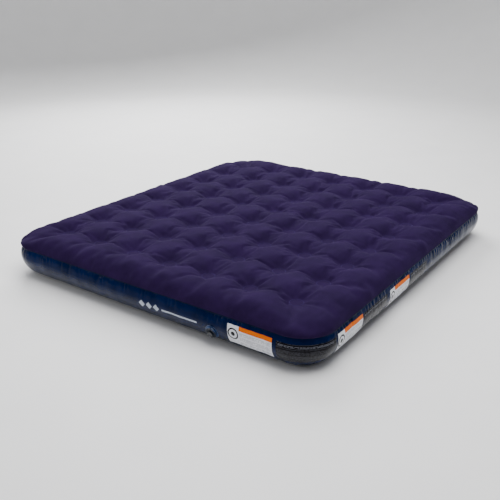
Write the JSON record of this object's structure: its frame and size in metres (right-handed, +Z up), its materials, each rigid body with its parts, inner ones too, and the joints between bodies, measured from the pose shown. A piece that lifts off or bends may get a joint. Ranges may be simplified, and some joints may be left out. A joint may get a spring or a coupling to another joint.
{
  "type": "air mattress",
  "caption": "Rectangular inflatable air bed with a flocked, coil-dimpled top, a glossy bulged vinyl wall and a capped double-lock valve low on one side.",
  "frame": {"origin": "centre of the underside, on the plane the bed rests on", "axes": "+Z up, +Y along the bed's length away from the valve side, +X across the width towards the side with two stickers"},
  "size_m": [1.8302, 2.0422, 0.22],
  "materials": {
    "flocked_top": "matte",
    "wall_vinyl": "gloss",
    "base_vinyl": "satin",
    "weld_vinyl": "satin",
    "coil_vinyl": "satin",
    "valve_vinyl": "gloss",
    "plug_vinyl": "gloss",
    "cap_plastic": "satin",
    "seal_rubber": "matte",
    "flap_silicone": "satin",
    "sticker_vinyl": "gloss"
  },
  "bodies": {
    "mattress": {"side_wall": "wall_vinyl", "base_sheet": "base_vinyl", "base_seam_weld": "weld_vinyl", "coil_row_1": "coil_vinyl", "coil_row_2": "coil_vinyl", "coil_row_3": "coil_vinyl", "coil_row_4": "coil_vinyl", "coil_row_5": "coil_vinyl", "coil_row_6": "coil_vinyl", "coil_row_7": "coil_vinyl", "coil_row_8": "coil_vinyl", "valve_neck": "valve_vinyl", "plug_tether": "valve_vinyl", "front_panel": "sticker_vinyl", "near_side_panel": "sticker_vinyl", "far_side_panel": "sticker_vinyl"},
    "sleeping_top": {"top_panel": "flocked_top", "top_seam_weld": "weld_vinyl"},
    "plug": {"deflation_plug": "plug_vinyl", "plug_gasket": "seal_rubber", "cap_tether": "plug_vinyl", "flap_clamp": "cap_plastic"},
    "cap": {"inflation_cap": "cap_plastic"},
    "flap": {"check_flap": "flap_silicone"}
  },
  "joints": [
    {"name": "top_sink", "type": "slide", "parent": "mattress", "child": "sleeping_top", "axis": [0, 0, 1], "range_m": [-0.04, 0], "stiffness_N_per_m": 20000, "springref_m": 0.003, "deforming": ["side_wall", "coil_row_1", "coil_row_2", "coil_row_3", "coil_row_4", "coil_row_5", "coil_row_6", "coil_row_7", "coil_row_8"]},
    {"name": "plug_open", "type": "hinge", "parent": "mattress", "child": "plug", "pos_m": [0.415, -1.02425, 0.09412], "axis": [-1, 0, 0], "range_deg": [0, 100]},
    {"name": "cap_open", "type": "hinge", "parent": "plug", "child": "cap", "pos_m": [0.415, -1.00906, 0.04353], "axis": [1, 0, 0], "range_deg": [0, 150]},
    {"name": "flap_open", "type": "hinge", "parent": "plug", "child": "flap", "pos_m": [0.415, -1.00073, 0.08051], "axis": [1, 0, 0], "range_deg": [0, 50], "stiffness_Nm_per_rad": 0.001, "springref_deg": -11.46}
  ]
}
